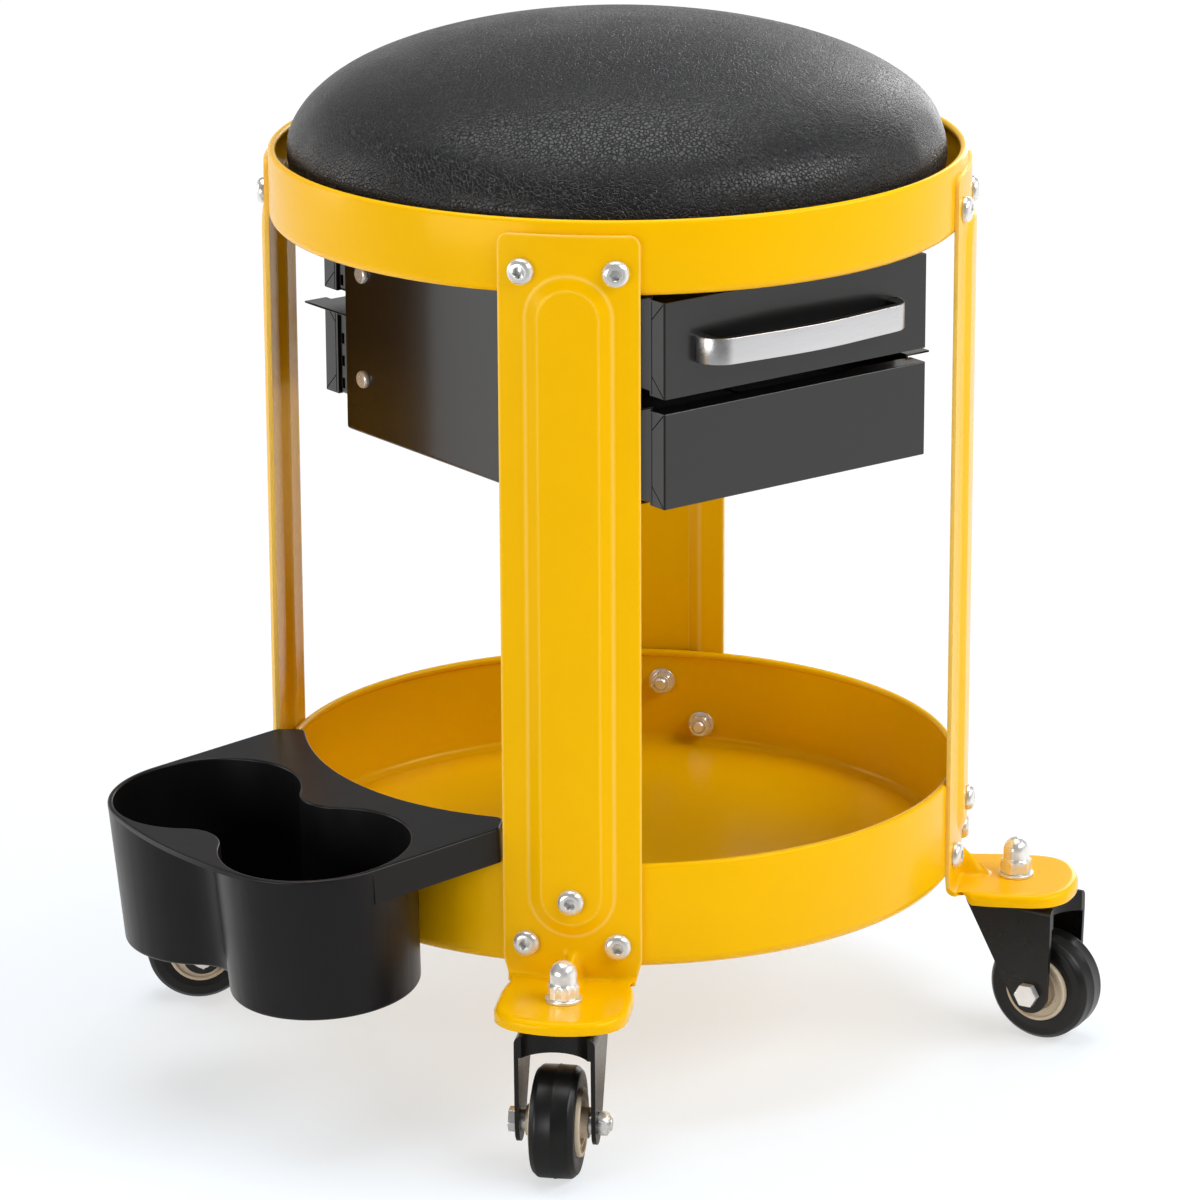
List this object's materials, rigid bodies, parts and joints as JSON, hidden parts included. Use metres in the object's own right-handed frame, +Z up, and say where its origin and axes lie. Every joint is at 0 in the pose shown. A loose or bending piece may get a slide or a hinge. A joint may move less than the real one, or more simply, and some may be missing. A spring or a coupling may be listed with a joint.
{
  "type": "creeper seat",
  "caption": "Round padded rolling workshop stool on pressed legs with swivel casters, tool tray, two under-seat drawers and a twin cup holder.",
  "frame": {"origin": "on the floor under the middle of the whole stool's extent, 43 mm from the seat's own axis towards the side away from the cups", "axes": "+Z up, -Y towards the drawer front with the upper handle, -X towards the twin cup holder"},
  "size_m": [0.419, 0.3482, 0.477],
  "materials": {
    "yellow_powder_coat": "gloss",
    "black_sheet": "satin",
    "black_vinyl": "grained, soft sheen",
    "seat_foam": "matte",
    "plywood": "matte",
    "zinc_steel": "bright zinc",
    "chrome_nut": "polished",
    "polished_handle": "polished",
    "handle_black": "matte",
    "moulded_black": "satin moulded",
    "caster_black": "gloss",
    "tyre_black": "smooth",
    "hub_cream": "satin"
  },
  "bodies": {
    "root": {"seat_cover": "black_vinyl", "seat_foam": "seat_foam", "seat_board": "plywood", "board_tee_nuts": "zinc_steel", "seat_pan": "yellow_powder_coat", "tool_tray": "yellow_powder_coat", "leg_bolts": "zinc_steel", "leg_washers": "zinc_steel", "leg_nuts": "zinc_steel", "drawer_case": "black_sheet", "case_bolts": "zinc_steel", "upper_runners": "zinc_steel", "lower_runners": "zinc_steel", "runner_rivets": "zinc_steel", "cap_nuts": "chrome_nut", "cap_nut_washers": "chrome_nut", "caster_studs": "zinc_steel", "race_cups": "caster_black", "race_balls": "zinc_steel", "front_left_leg": "yellow_powder_coat", "front_right_leg": "yellow_powder_coat", "rear_left_leg": "yellow_powder_coat", "rear_right_leg": "yellow_powder_coat"},
    "upper_drawer": {"upper_drawer_box": "black_sheet", "upper_drawer_front": "black_sheet", "upper_drawer_back": "black_sheet", "upper_handle": "handle_black", "upper_handle_trim": "polished_handle", "upper_handle_screws": "zinc_steel"},
    "lower_drawer": {"lower_drawer_box": "black_sheet", "lower_drawer_front": "black_sheet", "lower_drawer_back": "black_sheet", "lower_handle": "handle_black", "lower_handle_trim": "polished_handle", "lower_handle_screws": "zinc_steel"},
    "cup_holder": {"cup_holder": "moulded_black"},
    "front_left_caster": {"front_left_fork": "caster_black", "front_left_axle_sleeve": "zinc_steel", "front_left_axle_bolt": "zinc_steel", "front_left_axle_nut": "zinc_steel"},
    "front_left_wheel": {"front_left_tyre": "tyre_black", "front_left_hub": "hub_cream"},
    "front_right_caster": {"front_right_fork": "caster_black", "front_right_axle_sleeve": "zinc_steel", "front_right_axle_bolt": "zinc_steel", "front_right_axle_nut": "zinc_steel"},
    "front_right_wheel": {"front_right_tyre": "tyre_black", "front_right_hub": "hub_cream"},
    "rear_left_caster": {"rear_left_fork": "caster_black", "rear_left_axle_sleeve": "zinc_steel", "rear_left_axle_bolt": "zinc_steel", "rear_left_axle_nut": "zinc_steel"},
    "rear_left_wheel": {"rear_left_tyre": "tyre_black", "rear_left_hub": "hub_cream"},
    "rear_right_caster": {"rear_right_fork": "caster_black", "rear_right_axle_sleeve": "zinc_steel", "rear_right_axle_bolt": "zinc_steel", "rear_right_axle_nut": "zinc_steel"},
    "rear_right_wheel": {"rear_right_tyre": "tyre_black", "rear_right_hub": "hub_cream"}
  },
  "joints": [
    {"name": "upper_drawer_slide", "type": "slide", "parent": "root", "child": "upper_drawer", "axis": [0, -1, 0], "range_m": [0, 0.17]},
    {"name": "lower_drawer_slide", "type": "slide", "parent": "root", "child": "lower_drawer", "axis": [0, 1, 0], "range_m": [0, 0.17]},
    {"name": "cup_holder_lift", "type": "slide", "parent": "root", "child": "cup_holder", "axis": [0, 0, 1], "range_m": [0, 0.06]},
    {"name": "front_left_swivel", "type": "hinge", "parent": "root", "child": "front_left_caster", "pos_m": [-0.08924, -0.13223, 0.0685], "axis": [0, 0, 1], "continuous": true},
    {"name": "front_left_spin", "type": "hinge", "parent": "front_left_caster", "child": "front_left_wheel", "pos_m": [-0.10131, -0.14405, 0.0254], "axis": [0.6997, -0.7145, 0], "continuous": true},
    {"name": "front_right_swivel", "type": "hinge", "parent": "root", "child": "front_right_caster", "pos_m": [0.17522, -0.13223, 0.0685], "axis": [0, 0, 1], "continuous": true},
    {"name": "front_right_spin", "type": "hinge", "parent": "front_right_caster", "child": "front_right_wheel", "pos_m": [0.18139, -0.14796, 0.0254], "axis": [0.9311, 0.3649, 0], "continuous": true},
    {"name": "rear_left_swivel", "type": "hinge", "parent": "root", "child": "rear_left_caster", "pos_m": [-0.08924, 0.13223, 0.0685], "axis": [0, 0, 1], "continuous": true},
    {"name": "rear_left_spin", "type": "hinge", "parent": "rear_left_caster", "child": "rear_left_wheel", "pos_m": [-0.10413, 0.14022, 0.0254], "axis": [-0.4726, -0.8813, 0], "continuous": true},
    {"name": "rear_right_swivel", "type": "hinge", "parent": "root", "child": "rear_right_caster", "pos_m": [0.17522, 0.13223, 0.0685], "axis": [0, 0, 1], "continuous": true},
    {"name": "rear_right_spin", "type": "hinge", "parent": "rear_right_caster", "child": "rear_right_wheel", "pos_m": [0.18139, 0.14796, 0.0254], "axis": [-0.9311, 0.3649, 0], "continuous": true}
  ]
}
